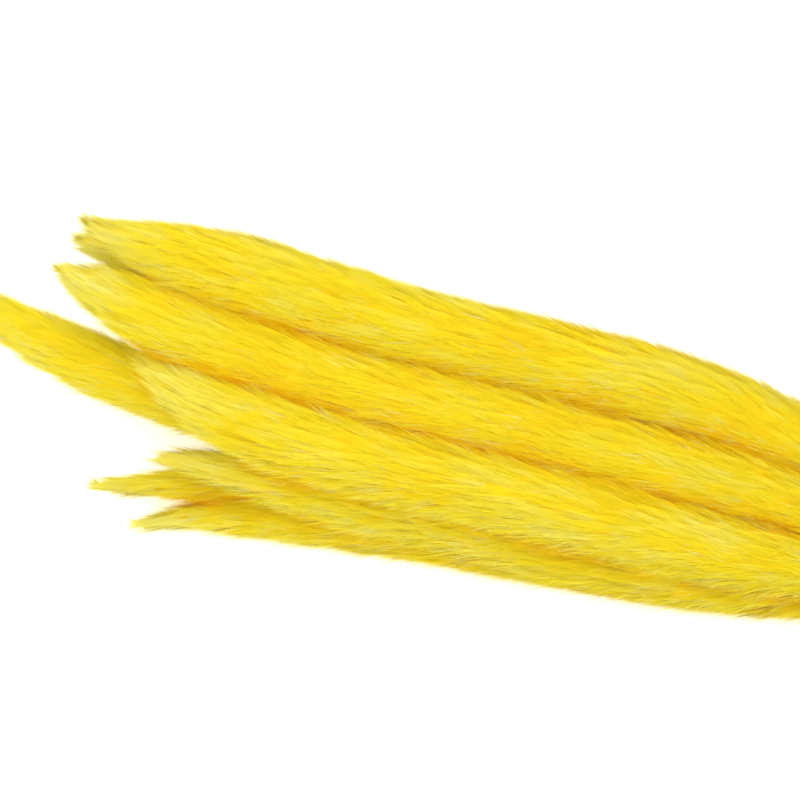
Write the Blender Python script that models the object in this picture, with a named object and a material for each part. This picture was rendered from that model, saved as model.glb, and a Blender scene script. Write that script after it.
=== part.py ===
"""A bundle of ten dried, dyed reeds lying on a table, tied round its stems with twine.

Each reed is a bare stem that carries one long, soft plume. The plumes lie heaped in three rows with their tips
fanned out, the stems are drawn together by the twine, and the lowest plumes are pressed flat by their own weight.
Metres, +Z up, the table at Z = 0. +X runs along the bundle from the plume tips to the cut ends of the stems.
"""

import collections
import math

import bmesh
import bpy
import numpy as np
from mathutils import Matrix, Vector

# Along the bundle.
MIDDLE_X = -0.110  # the plumes fan out from here towards their tips
SHOULDER_X = 0.010  # and from here the bundle narrows towards its tie
TIE_X = 0.195
NECK_LENGTH = 0.145  # over which it thins again to where it joins its stem

# Across it.
PLUME_RADIUS = 0.0130  # of a middling plume
TIP_RADIUS = 0.0012
NECK_RADIUS = 0.0030
STEM_RADIUS = 0.0021
STEM_RING_SWELL = 1.22  # a stem is ringed by swollen joints this many times its width
STEM_RING_SPACING = 0.085
STEM_RING_LENGTH = 0.0032
LAST_RING = 0.028  # before the cut end
PRESSED = 0.0028  # how far the lowest plumes sink into themselves where they lie on the table
JOINT_GAP = 0.0003  # between two pieces that touch
CLEARANCE = 0.0006  # between the round sections of two neighbours, slant included

# How far apart the reeds lie, centre to centre, at places along the bundle.
SPREAD = (
    (-0.300, 0.0310),
    (MIDDLE_X, 0.0268),
    (-0.040, 0.0254),
    (0.045, 0.0210),
    (0.115, 0.0085),
    (TIE_X, 0.0052),
    (0.300, 0.0070),
)
# The height of the lowest row's centres at the same kind of places.
LOWEST_ROW = (
    (-0.300, 0.0080),
    (MIDDLE_X, PLUME_RADIUS - PRESSED),
    (0.045, 0.0105),
    (TIE_X, 0.0130),
    (0.300, STEM_RADIUS),
)
ROW_RISE = math.sqrt(3) / 2  # a row nests in the hollows of the one under it

# Each reed: its row, its place across that row in spreads, at its plume's middle and at its shoulder, the X, Y
# and Z of its tip, how far it bows in Y on the way there, where its plume ends, where it is cut, how thick it is,
# and over what length it swells from its tip to that.
Reed = collections.namedtuple("Reed", "row middle shoulder tip bow neck_x cut_x widest taper")
REEDS = (
    Reed(0, -1.36, -1.27, (-0.222, -0.064, 0.007), 0.003, 0.096, 0.292, 0.0112, 0.110),
    Reed(0, -0.60, -0.08, (-0.242, -0.055, 0.014), -0.008, 0.104, 0.300, 0.0100, 0.110),
    Reed(0, 0.40, 0.90, (-0.212, 0.014, 0.009), 0.0, 0.100, 0.286, 0.0122, 0.060),
    Reed(1, -1.28, -1.10, (-0.217, -0.042, 0.034), 0.0, 0.090, 0.283, 0.0122, 0.090),
    Reed(1, -0.42, -0.30, (-0.332, 0.017, 0.016), -0.009, 0.114, 0.297, 0.0126, 0.090),
    Reed(1, 0.52, 0.60, (-0.240, 0.024, 0.026), 0.0, 0.116, 0.290, 0.0122, 0.060),
    Reed(1, 1.36, 1.48, (-0.278, 0.040, 0.038), 0.0, 0.110, 0.299, 0.0128, 0.060),
    Reed(2, -1.08, -1.08, (-0.230, -0.009, 0.050), 0.0, 0.120, 0.294, 0.0136, 0.060),
    Reed(2, -0.10, -0.10, (-0.278, 0.022, 0.048), 0.0, 0.118, 0.288, 0.0138, 0.060),
    Reed(2, 1.02, 0.97, (-0.270, 0.040, 0.058), -0.005, 0.108, 0.295, 0.0160, 0.080),
)

PLUME_SECTIONS, PLUME_SIDES = 18, 12
STEM_SECTIONS, STEM_SIDES = 14, 8

# The tie.
TWINE_RADIUS = 0.0009
TURNS = 5
TURN_PITCH = 2 * TWINE_RADIUS + JOINT_GAP
TURN_POINTS = 26
TWINE_SIDES = 8
KNOT_SIZE = (0.0042, 0.0032, 0.0024)  # half its length, width and height
STUB_LENGTH = 0.014
STUB_RISE = 0.18  # for each unit along
STUB_ANGLES = (24, 151)  # which way the twine's two short ends point, in degrees from +X

# Settling the heap.
STATION_STEP = 0.010
STATIONS = np.arange(-0.340, 0.3101, STATION_STEP)
SETTLING_ROUNDS = 500
CLEARING_ROUNDS = 60
PULL, STIFFNESS = 0.06, 0.45


def along(table, x):
    """The value at x of a quantity given at a few places along the bundle."""
    places, values = zip(*table)
    return np.interp(x, places, values)


def rise(distance, length):
    """From 0 at an end to 1 at that length from it, rounding over as a plume's shoulder does."""
    share = np.clip(np.asarray(distance) / length, 0.0, 1.0)
    return 1.0 - (1.0 - share) ** 2


def plume_radius(x, reed):
    at_tip = TIP_RADIUS + (reed.widest - TIP_RADIUS) * rise(x - reed.tip[0], reed.taper)
    at_neck = NECK_RADIUS + (reed.widest - NECK_RADIUS) * rise(reed.neck_x - x, NECK_LENGTH)
    return np.minimum(at_tip, at_neck)


def wished_path(reed):
    """The (Y, Z) that the reed would take at each station if it had no neighbours."""
    spread = along(SPREAD, STATIONS)
    place = np.interp(STATIONS, (MIDDLE_X, SHOULDER_X), (reed.middle, reed.shoulder))
    height = along(LOWEST_ROW, STATIONS) + reed.row * ROW_RISE * spread
    lane = np.stack([place * spread, height], axis=1)
    tip_x = reed.tip[0]
    tip_lane = np.array([np.interp(tip_x, STATIONS, lane[:, axis]) for axis in (0, 1)])
    outward = np.clip((MIDDLE_X - STATIONS) / (MIDDLE_X - tip_x), 0.0, 1.2)
    path = lane + outward[:, None] ** 2 * (np.array(reed.tip[1:]) - tip_lane)
    path[:, 0] += reed.bow * 4 * outward * (1 - outward)
    return path


def section_radii(reed):
    """The reed's radius at each station, and 0 beyond its ends."""
    stem_room = STEM_RADIUS * STEM_RING_SWELL
    radii = np.where(STATIONS < reed.neck_x, plume_radius(STATIONS, reed), stem_room)
    inside = (STATIONS > reed.tip[0] - STATION_STEP) & (STATIONS < reed.cut_x + STATION_STEP)
    return np.where(inside, radii, 0.0)


def push_apart(paths, radii):
    """One round of moving overlapping neighbours away from each other, and up off the table."""
    for first in range(len(REEDS)):
        for second in range(first + 1, len(REEDS)):
            apart = paths[first] - paths[second]
            distance = np.maximum(np.linalg.norm(apart, axis=1), 1e-6)
            both = (radii[first] > 0) & (radii[second] > 0)
            needed = radii[first] + radii[second] + CLEARANCE
            overlap = np.where(both, np.maximum(needed - distance, 0.0), 0.0)
            step = apart * (overlap / distance / 2)[:, None]
            paths[first] += step
            paths[second] -= step
    soft = radii > STEM_RADIUS * STEM_RING_SWELL
    lowest = np.where(soft, np.maximum(radii - PRESSED, NECK_RADIUS), radii)
    paths[:, :, 1] = np.maximum(paths[:, :, 1], lowest)


def settle():
    """The (Y, Z) of every reed at every station, once the heap has found room for all of them."""
    radii = np.array([section_radii(reed) for reed in REEDS])
    wished = np.array([wished_path(reed) for reed in REEDS])
    paths = wished.copy()
    for _ in range(SETTLING_ROUNDS):
        paths += PULL * (wished - paths)
        between = (paths[:, :-2] + paths[:, 2:]) / 2
        paths[:, 1:-1] += STIFFNESS * (between - paths[:, 1:-1])
        push_apart(paths, radii)
    for _ in range(CLEARING_ROUNDS):
        push_apart(paths, radii)
    return paths


def point_at(path, x):
    return Vector((x, np.interp(x, STATIONS, path[:, 0]), np.interp(x, STATIONS, path[:, 1])))


def material(name, colour, roughness):
    made = bpy.data.materials.new(name)
    made.use_nodes = True
    shader = made.node_tree.nodes["Principled BSDF"]
    shader.inputs["Base Color"].default_value = (*colour, 1.0)
    shader.inputs["Roughness"].default_value = roughness
    shader.inputs["Metallic"].default_value = 0.0
    return made


def tube(name, points, radii, sides, finish, collection):
    """A closed tube through the points, as a mesh whose end caps are welded to its wall."""
    curve = bpy.data.curves.new(name, "CURVE")
    curve.dimensions = "3D"
    curve.bevel_depth = 1.0
    curve.bevel_resolution = sides // 2 - 2  # a bevel has four sides and two more for each step of this
    curve.use_fill_caps = True
    spline = curve.splines.new("POLY")
    spline.points.add(len(points) - 1)
    for knot, point, radius in zip(spline.points, points, radii):
        knot.co = (*point, 1.0)
        knot.radius = radius
    guide = bpy.data.objects.new(name + "_line", curve)
    collection.objects.link(guide)
    graph = bpy.context.evaluated_depsgraph_get()
    mesh = bpy.data.meshes.new_from_object(guide.evaluated_get(graph))
    bpy.data.objects.remove(guide)
    mesh.name = name
    shape = bmesh.new()
    shape.from_mesh(mesh)
    bmesh.ops.remove_doubles(shape, verts=shape.verts, dist=1e-6)
    bmesh.ops.recalc_face_normals(shape, faces=shape.faces)
    shape.to_mesh(mesh)
    shape.free()
    mesh.materials.clear()
    mesh.materials.append(finish)
    mesh.shade_smooth()
    mesh.set_sharp_from_angle(angle=math.radians(50))
    made = bpy.data.objects.new(name, mesh)
    collection.objects.link(made)
    return made


def press_on_table(piece):
    """Flattens whatever would reach under the table against it."""
    for vertex in piece.data.vertices:
        vertex.co.z = max(vertex.co.z, 0.0)


def plume(name, reed, path, finish, collection):
    """A soft spindle, pointed at its tip, with sections closer together where its width changes fast."""
    tip_x, neck_x = reed.tip[0], reed.neck_x
    turn = np.linspace(0.0, math.pi, PLUME_SECTIONS)
    places = tip_x + (neck_x - tip_x) * (1.0 - np.cos(turn)) / 2
    points = [point_at(path, x) for x in places]
    made = tube(name, points, plume_radius(places, reed), PLUME_SIDES, finish, collection)
    press_on_table(made)
    return made


def stem(name, reed, path, finish, collection):
    """The bare stalk, from just short of the plume's neck to its cut end, with a swollen ring at each joint."""
    neck_x, cut_x = reed.neck_x, reed.cut_x
    start, beyond = point_at(path, neck_x), point_at(path, neck_x + STATION_STEP)
    start_x = neck_x + JOINT_GAP * (beyond - start).normalized().x
    swell = dict.fromkeys(np.linspace(start_x, cut_x, STEM_SECTIONS), 1.0)
    for ring_x in np.arange(cut_x - LAST_RING, neck_x + STEM_RING_SPACING / 4, -STEM_RING_SPACING):
        swell[ring_x - STEM_RING_LENGTH / 2] = 1.0
        swell[ring_x] = STEM_RING_SWELL
        swell[ring_x + STEM_RING_LENGTH / 2] = 1.0
    places = sorted(swell)
    radii = [STEM_RADIUS * swell[x] for x in places]
    made = tube(name, [point_at(path, x) for x in places], radii, STEM_SIDES, finish, collection)
    press_on_table(made)
    return made


def wrap_point(centres, angle, x):
    """Where twine drawn tight round the stems lies at this angle: outside whichever stem reaches furthest."""
    outward = np.array([math.cos(angle), math.sin(angle)])
    furthest = centres[np.argmax(centres @ outward)]
    y, z = furthest + outward * (STEM_RADIUS + TWINE_RADIUS + CLEARANCE)
    return Vector((x, y, z))


def twine_wraps(centres, finish, collection):
    """The turns of twine, one helix that follows the outline of the gathered stems."""
    steps = TURNS * TURN_POINTS
    points = []
    for step in range(steps + 1):
        x = TIE_X + TURN_PITCH * (step / TURN_POINTS - TURNS / 2)
        points.append(wrap_point(centres, math.pi / 2 + math.tau * step / TURN_POINTS, x))
    tube("twine_wraps", points, [TWINE_RADIUS] * len(points), TWINE_SIDES, finish, collection)


def twine_knot(centres, finish, collection, helpers):
    """The knot on top of the turns, with the twine's two short ends that were snipped off beside it."""
    top = wrap_point(centres, math.pi / 2, TIE_X)
    seat = top + Vector((0.0, 0.0, TWINE_RADIUS + JOINT_GAP + KNOT_SIZE[2]))
    bpy.ops.mesh.primitive_uv_sphere_add(segments=16, ring_count=10, radius=1.0, location=(0.0, 0.0, 0.0))
    knot = bpy.context.object
    knot.name = knot.data.name = "twine_knot"
    knot.data.transform(Matrix.Translation(seat) @ Matrix.Diagonal((*KNOT_SIZE, 1.0)))
    knot.data.shade_smooth()
    knot.data.materials.append(finish)
    for owner in list(knot.users_collection):
        owner.objects.unlink(knot)
    collection.objects.link(knot)
    for number, angle in enumerate(STUB_ANGLES, start=1):
        way = Vector((math.cos(math.radians(angle)), math.sin(math.radians(angle)), STUB_RISE))
        reach = (seat, seat + way * STUB_LENGTH)
        stub = tube(f"stub_{number}", reach, (TWINE_RADIUS, TWINE_RADIUS), TWINE_SIDES, finish, helpers)
        stub.hide_render = True
        stub.display_type = "WIRE"
        join = knot.modifiers.new(f"join_stub_{number}", "BOOLEAN")
        join.operation = "UNION"
        join.object = stub


def stand_over_origin(collections):
    """Moves everything so that the box round the bundle stands on the origin at the middle of its underside."""
    pieces = [piece for owner in collections for piece in owner.objects]
    corners = np.array([vertex.co for piece in pieces for vertex in piece.data.vertices])
    low, high = corners.min(axis=0), corners.max(axis=0)
    for piece in pieces:
        piece.location -= Vector(((low[0] + high[0]) / 2, (low[1] + high[1]) / 2, low[2]))


def clear_scene():
    for old in list(bpy.data.objects):
        bpy.data.objects.remove(old)


def new_collection(name):
    made = bpy.data.collections.new(name)
    bpy.context.scene.collection.children.link(made)
    return made


def main():
    clear_scene()
    bundle = new_collection("reed_bundle")
    helpers = new_collection("helpers")
    dyed_plume = material("dyed_plume", (0.87, 0.66, 0.02), 0.85)
    dyed_stem = material("dyed_stem", (0.72, 0.54, 0.12), 0.55)
    jute = material("jute_twine", (0.42, 0.28, 0.13), 0.9)
    paths = settle()
    for number, (reed, path) in enumerate(zip(REEDS, paths), start=1):
        plume(f"reed_{number:02d}_plume", reed, path, dyed_plume, bundle)
        stem(f"reed_{number:02d}_stem", reed, path, dyed_stem, bundle)
    at_tie = np.array([point_at(path, TIE_X)[1:] for path in paths])
    twine_wraps(at_tie, jute, bundle)
    twine_knot(at_tie, jute, bundle, helpers)
    stand_over_origin((bundle, helpers))


main()
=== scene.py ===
# %% [markdown]
# # A bundle of dyed, dried reeds
#
# Ten dried reeds lie in a loose bundle. Each one is a hollow, jointed stalk that ends in a long plume of silky
# hairs, and a few turns of jute twine hold the stalks together.
#
# The measured model of the bundle comes first. It says where each reed lies, how its plume swells and where the
# twine goes round, so nothing here has to be placed by eye. What it can't hold is the softness: its plumes are
# smooth spindles. This lesson gives them their hairs.

# %% Load the measured bundle
import math
import random

import bmesh
import bpy
import numpy as np
from mathutils import Matrix, Vector


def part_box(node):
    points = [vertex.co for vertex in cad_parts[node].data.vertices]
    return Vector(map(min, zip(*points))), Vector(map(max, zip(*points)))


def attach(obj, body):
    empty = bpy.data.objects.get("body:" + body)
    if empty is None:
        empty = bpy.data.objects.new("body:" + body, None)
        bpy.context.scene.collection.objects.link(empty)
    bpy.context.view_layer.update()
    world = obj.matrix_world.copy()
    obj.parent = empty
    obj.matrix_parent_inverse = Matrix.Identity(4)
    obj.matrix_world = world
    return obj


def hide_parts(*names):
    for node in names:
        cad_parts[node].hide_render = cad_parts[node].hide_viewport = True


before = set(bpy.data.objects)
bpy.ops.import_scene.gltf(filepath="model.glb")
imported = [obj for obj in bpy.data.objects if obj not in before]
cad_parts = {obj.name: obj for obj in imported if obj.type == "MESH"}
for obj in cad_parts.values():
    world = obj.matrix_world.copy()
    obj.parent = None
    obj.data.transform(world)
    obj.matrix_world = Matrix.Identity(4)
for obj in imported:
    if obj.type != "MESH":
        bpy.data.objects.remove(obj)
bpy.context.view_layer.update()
reeds = sorted({name[:7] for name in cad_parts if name.startswith("reed_")})
print("reeds:", ", ".join(reeds))

# %% [markdown]
# ## A few helpers for node trees
#
# Materials and Geometry Nodes are both trees of nodes joined by links. Making a node, setting its sockets and
# linking it takes many lines, so one helper does all three. A socket is given by its name or its number, and what
# it is given is either a plain value or another node's output. The other helpers make the nodes that come up often.

# %% Node helpers


def add_node(tree, kind, sockets=(), **settings):
    """Makes a node, sets its settings, and fills its sockets with values or links."""
    node = tree.nodes.new(kind)
    for name, value in settings.items():
        setattr(node, name, value)
    for socket, value in dict(sockets).items():
        if isinstance(value, bpy.types.NodeSocket):
            tree.links.new(value, node.inputs[socket])
        else:
            node.inputs[socket].default_value = value
    return node


def add(tree, kind, sockets=(), **settings):
    """Makes a node in the same way, for the sake of its first output."""
    return add_node(tree, kind, sockets, **settings).outputs[0]


def maths(tree, operation, *values):
    """One step of arithmetic on numbers."""
    return add(tree, "ShaderNodeMath", enumerate(values), operation=operation)


def plus(tree, first, *others):
    """A sum."""
    for other in others:
        first = maths(tree, "ADD", first, other)
    return first


def times(tree, first, *others):
    """A product."""
    for other in others:
        first = maths(tree, "MULTIPLY", first, other)
    return first


def minus(tree, first, second):
    """A difference."""
    return maths(tree, "SUBTRACT", first, second)


def vector_maths(tree, operation, *values):
    """One step of arithmetic on vectors."""
    return add(tree, "ShaderNodeVectorMath", enumerate(values), operation=operation)


def scaled(tree, vector, factor):
    """A vector made longer or shorter."""
    return add(tree, "ShaderNodeVectorMath", {0: vector, "Scale": factor}, operation="SCALE")


def steered(tree, way, *pushes):
    """A vector pushed along others, each given with how far it pushes."""
    for vector, far in pushes:
        way = vector_maths(tree, "ADD", way, scaled(tree, vector, far))
    return way


def dot(tree, first, second):
    """How far one vector runs along another."""
    return add_node(tree, "ShaderNodeVectorMath", {0: first, 1: second}, operation="DOT_PRODUCT").outputs["Value"]


def new_material(name, sockets=()):
    """A material, its tree and its Principled shader, with some of the shader's sockets set."""
    made = bpy.data.materials.new(name)
    made.use_nodes = True
    shader = made.node_tree.nodes["Principled BSDF"]
    for socket, value in dict(sockets).items():
        shader.inputs[socket].default_value = value
    return made, made.node_tree, shader


def parts(tree, vector):
    """A vector's X, Y and Z."""
    return add_node(tree, "ShaderNodeSeparateXYZ", {0: vector}).outputs


def map_place(tree, uv_map):
    """The place on a UV map, in a material: U is its X, and V its Y."""
    return parts(tree, add_node(tree, "ShaderNodeUVMap", uv_map=uv_map).outputs["UV"])


def combined(tree, x, y, z):
    """A vector made of three numbers."""
    return add(tree, "ShaderNodeCombineXYZ", {"X": x, "Y": y, "Z": z})


def ramp(tree, factor, steps):
    """A colour read off a ramp, which is given as (place, colour) pairs."""
    made = add_node(tree, "ShaderNodeValToRGB", {"Fac": factor})
    stops = made.color_ramp.elements
    stops.remove(stops[-1])
    stops[0].position = steps[0][0]
    stops[0].color = (*steps[0][1], 1.0)
    for place, colour in steps[1:]:
        stops.new(place).color = (*colour, 1.0)
    return made.outputs["Color"]


def new_tree(name, takes, inputs, gives):
    """A Geometry Nodes tree with named inputs, and what it is given."""
    tree = bpy.data.node_groups.new(name, "GeometryNodeTree")
    tree.interface.new_socket(takes, in_out="INPUT", socket_type="NodeSocketGeometry")
    for label, value in inputs:
        kind = "NodeSocketInt" if isinstance(value, int) else "NodeSocketFloat"
        tree.interface.new_socket(label, in_out="INPUT", socket_type=kind).default_value = value
    tree.interface.new_socket(gives, in_out="OUTPUT", socket_type="NodeSocketGeometry")
    return tree, add_node(tree, "NodeGroupInput").outputs


def named(tree, name, kind="FLOAT"):
    """Reads a named attribute."""
    return add(tree, "GeometryNodeInputNamedAttribute", {"Name": name}, data_type=kind)


def stored(tree, geometry, name, value, kind="FLOAT", domain="POINT"):
    """Geometry with a value stored on it under a name."""
    return add(tree, "GeometryNodeStoreNamedAttribute", {"Geometry": geometry, "Name": name, "Value": value},
               data_type=kind, domain=domain)


def joined(tree, *pieces):
    """Several geometries as one."""
    made = add_node(tree, "GeometryNodeJoinGeometry")
    for piece in pieces:
        tree.links.new(piece, made.inputs[0])
    return made.outputs[0]


# %% [markdown]
# ## The floor, the light and the camera
#
# Dried reeds are often shown on a plain white ground under big soft lamps, so that the dye's colour is what one
# sees. A large lamp hangs straight above the bundle. Two more, in front and behind, light the plumes' sides,
# and the pale surroundings fill in the rest. The floor glows a little, as a light table does: that keeps the
# ground white under the heap, and lights the hairs from below. The camera looks down steeply, with a long lens,
# which keeps the plumes' proportions true.

# %% The floor
FLOOR_SIZE = 6.0


def in_scene(name, data):
    """A new object with a mesh, a lamp or a camera in it, in the scene."""
    made = bpy.data.objects.new(name, data)
    bpy.context.scene.collection.objects.link(made)
    return made


floor_mesh = bpy.data.meshes.new("studio_floor")
half_floor = FLOOR_SIZE / 2
floor_corners = [(x * half_floor, y * half_floor, 0.0) for x, y in ((-1, -1), (1, -1), (1, 1), (-1, 1))]
floor_mesh.from_pydata(floor_corners, [], [(0, 1, 2, 3)])
studio_floor = in_scene("studio_floor", floor_mesh)

floor_paint, _, _ = new_material("white_floor_paint", {
    "Base Color": (0.97, 0.97, 0.97, 1.0), "Roughness": 0.9,
    "Emission Color": (1.0, 1.0, 1.0, 1.0), "Emission Strength": 0.45})
floor_mesh.materials.append(floor_paint)
print("floor:", FLOOR_SIZE, "m across")

# %% The lamps and the surroundings


def soft_lamp(name, place, aim, size, power):
    """A square lamp that points at a place."""
    lamp = bpy.data.lights.new(name, "AREA")
    lamp.shape = "SQUARE"
    lamp.size = size
    lamp.energy = power
    holder = in_scene(name, lamp)
    holder.location = place
    holder.rotation_euler = (Vector(aim) - Vector(place)).to_track_quat("-Z", "Y").to_euler()


heap_middle = (-0.10, 0.0, 0.03)
soft_lamp("top_lamp", (-0.12, 0.02, 1.45), heap_middle, 1.4, 5.5)
soft_lamp("front_lamp", (-0.60, -1.15, 0.65), heap_middle, 1.4, 3.4)
soft_lamp("back_lamp", (-0.40, 1.25, 0.70), heap_middle, 1.4, 6.0)

surroundings = bpy.data.worlds.new("pale_studio")
surroundings.use_nodes = True
glow = surroundings.node_tree.nodes["Background"]
glow.inputs["Color"].default_value = (1.0, 1.0, 1.0, 1.0)
glow.inputs["Strength"].default_value = 0.95
bpy.context.scene.world = surroundings
bpy.context.scene.view_settings.view_transform = "Standard"
rays = bpy.context.scene.cycles  # light passes from hair to hair many times before it comes out
rays.max_bounces, rays.diffuse_bounces, rays.transmission_bounces = 12, 8, 11
print("lamps:", ", ".join(sorted(lamp.name for lamp in bpy.data.lights)))

# %% The camera
CAMERA_AZIMUTH = math.radians(15.2)
CAMERA_HEIGHT = math.radians(68.0)
CAMERA_DISTANCE = 0.711
CAMERA_AIM = Vector((-0.1108, 0.0103, 0.0404))

right = Vector((math.cos(CAMERA_AZIMUTH), math.sin(CAMERA_AZIMUTH), 0.0))
back = Vector((
    math.sin(CAMERA_AZIMUTH) * math.cos(CAMERA_HEIGHT),
    -math.cos(CAMERA_AZIMUTH) * math.cos(CAMERA_HEIGHT),
    math.sin(CAMERA_HEIGHT),
))
lens = bpy.data.cameras.new("camera")
lens.lens = 80.0
lens.sensor_width = 36.0
lens.clip_start = 0.01
camera = in_scene("camera", lens)
camera.matrix_world = Matrix((right, back.cross(right), back)).transposed().to_4x4()
camera.location = CAMERA_AIM + back * CAMERA_DISTANCE
bpy.context.scene.camera = camera
print("camera at", [round(v, 3) for v in camera.location])

# %% [markdown]
# ## Reading a reed's middle line
#
# Everything on a reed follows its bend: the hairs point along it, and the stalk is swept along it. The measured
# solid gives that line. A flat cut across it at some X is a closed outline, and the outline's sides give the
# middle and the half-width there. The underside may be pressed flat on the table, so the height of the middle
# comes from the top of the outline.

# %% Slice a measured piece


def points_of(mesh):
    """A mesh's points, as an array."""
    points = np.empty(len(mesh.vertices) * 3)
    mesh.vertices.foreach_get("co", points)
    return points.reshape(-1, 3)


def loose_edges(node):
    """Every edge of a measured piece, as two arrays of end points."""
    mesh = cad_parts[node].data
    points = points_of(mesh)
    pairs = np.empty(len(mesh.edges) * 2, int)
    mesh.edges.foreach_get("vertices", pairs)
    pairs = pairs.reshape(-1, 2)
    return points[pairs[:, 0]], points[pairs[:, 1]]


def slices(node, places):
    """The middle and the half-width of a measured piece at each X."""
    start, end = loose_edges(node)
    middles, half_widths = [], []
    for x in places:
        crossing = (start[:, 0] - x) * (end[:, 0] - x) < 0
        a, b = start[crossing], end[crossing]
        share = (x - a[:, 0]) / (b[:, 0] - a[:, 0])
        outline = a + (b - a) * share[:, None]
        left, far = outline[:, 1].min(), outline[:, 1].max()
        half_width = (far - left) / 2
        middles.append((x, (left + far) / 2, outline[:, 2].max() - half_width))
        half_widths.append(half_width)
    return np.array(middles), np.array(half_widths)


def read_along(line, values, x):
    """What stands in each column of values, one row for each point of a line, read at each X."""
    return np.stack([np.interp(x, line[:, 0], column) for column in values.T], axis=1)


def along_line(line):
    """The unit direction of a line at each of its points."""
    steps = np.gradient(line, axis=0)
    return steps / np.linalg.norm(steps, axis=1, keepdims=True)


low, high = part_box("reed_05_plume")
line, widths = slices("reed_05_plume", np.linspace(low[0] + 0.002, high[0] - 0.002, 5))
print("reed_05_plume's half-widths in mm:", (widths * 1000).round(1))

# %% [markdown]
# ## Sweeping a round section along a line
#
# The heart of a plume, a stalk and a strand of twine are all round sections swept along a line. Blender's curves
# can do it too, but a sweep of one's own says exactly where every ring and every UV coordinate lies. Each ring
# carries its turn over from the ring before, so that the tube doesn't twist.

# %% The sweep


def sweep(name, line, radii, sides, ways=None):
    """A closed tube through the points of a line. Its UV map runs along it in U and round it in V.

    The rings face along the line, or the given ways where the line turns back on itself.
    """
    line = np.asarray(line, float)
    ways = along_line(line) if ways is None else ways
    side = np.cross(ways[0], (0.0, 0.0, 1.0))
    shape = bmesh.new()
    map_layer = shape.loops.layers.uv.new("UVMap")
    rings = []
    for centre, way, radius in zip(line, ways, radii):
        side = side - way * side.dot(way)
        side /= np.linalg.norm(side)
        up = np.cross(side, way)
        turns = np.arange(sides) * math.tau / sides
        ring = centre + radius * (np.outer(np.cos(turns), side) + np.outer(np.sin(turns), up))
        rings.append([shape.verts.new(point) for point in ring])
    shares = np.linspace(0.0, 1.0, len(rings))
    for number in range(len(rings) - 1):
        for turn in range(sides):
            beside = (turn + 1) % sides
            near, far = rings[number], rings[number + 1]
            face = shape.faces.new((near[turn], near[beside], far[beside], far[turn]))
            around = (turn / sides, (turn + 1) / sides)
            corners = ((0, 0), (0, 1), (1, 1), (1, 0))
            for loop, (step, turned) in zip(face.loops, corners):
                loop[map_layer].uv = (shares[number + step], around[turned])
    shape.faces.new(rings[0])
    shape.faces.new(rings[-1])
    bmesh.ops.recalc_face_normals(shape, faces=shape.faces)
    mesh = bpy.data.meshes.new(name)
    shape.to_mesh(mesh)
    shape.free()
    mesh.shade_smooth()
    return mesh


# %% [markdown]
# ## The dye on the hairs
#
# The hairs take a bright yellow dye. It sits deepest near their roots, where it turns golden, and thins towards
# the tips, which stay pale. Hairs also differ from one another: some took less dye and look like straw.
#
# One colour ramp holds all of it. The hair's UV map says where to read it: U runs from root to tip, and V is how
# pale that hair is. A pattern that is only a reading of the UV map costs nothing however many hairs there are.
# Dry hairs let some light through, so a translucent shader is mixed in, and sheen lights their rims.
# Deep inside a plume the hairs are packed so tightly that no light comes through them. They get the same dye on
# a plain, rough surface.

# %% The hair material
# The ramp's deep orange end also serves as the painted shade in the hollows between plumes.
DYE_STEPS = (
    (0.00, (0.64, 0.25, 0.001)),
    (0.12, (0.97, 0.43, 0.001)),
    (0.30, (0.98, 0.67, 0.004)),
    (0.50, (0.95, 0.82, 0.019)),
    (0.75, (0.92, 0.87, 0.210)),
    (1.00, (0.91, 0.89, 0.520)),
)
TIP_PALER = 0.26  # how much further up the ramp a hair's tip is read than its root
TIP_BLEACHED = 0.22  # and the last of the tip is read this much further still
BLEACHED_POWER = 5.0  # this bleaching starts the later, the greater the power
LET_THROUGH = 0.55  # the share of light that a hair lets through


def dyed_hair_material():
    """The dye on a hair, which lets some light through."""
    made, tree, shine = new_material("dyed_reed_hair", {
        "Roughness": 0.62, "Specular IOR Level": 0.25, "Sheen Weight": 0.8, "Sheen Roughness": 0.3})
    place = map_place(tree, "OFBake")
    towards_tip = times(tree, minus(tree, place["X"], 0.5), TIP_PALER)
    bleached = times(tree, maths(tree, "POWER", place["X"], BLEACHED_POWER), TIP_BLEACHED)
    dye = ramp(tree, plus(tree, place["Y"], plus(tree, towards_tip, bleached)), DYE_STEPS)
    tree.links.new(dye, shine.inputs["Base Color"])
    through = add(tree, "ShaderNodeBsdfTranslucent", {"Color": dye})
    both = add(tree, "ShaderNodeMixShader", {0: LET_THROUGH, 1: shine.outputs[0], 2: through})
    tree.links.new(both, tree.nodes["Material Output"].inputs["Surface"])
    return made


def packed_hair_material():
    """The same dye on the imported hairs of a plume's heart, which let no light through."""
    made, tree, shader = new_material("packed_reed_hair", {"Roughness": 0.9, "Specular IOR Level": 0.1})
    tree.links.new(ramp(tree, map_place(tree, "OFBake")["Y"], DYE_STEPS), shader.inputs["Base Color"])
    return made


dyed_hair = dyed_hair_material()
packed_hair = packed_hair_material()
print("hair colours on the ramp:", len(DYE_STEPS))

# %% [markdown]
# ## A lock of hairs
#
# A reed's hairs don't lie singly. They cling together in small locks, wide at the root and pointed at the tip.
# So the hairs are made a lock at a time: some thirty of them start side by side, draw together, and rise a little
# way off, each by its own amount. Hair curves could do this, but only a mesh is kept when the bundle is handed on.
# So each hair is a single slim triangle, because thousands of locks will be laid on the plumes.
#
# A handful of different locks is enough, as each copy is turned and stretched in its own way. They wait in a
# collection that isn't part of the scene, so they don't show by themselves.

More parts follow.
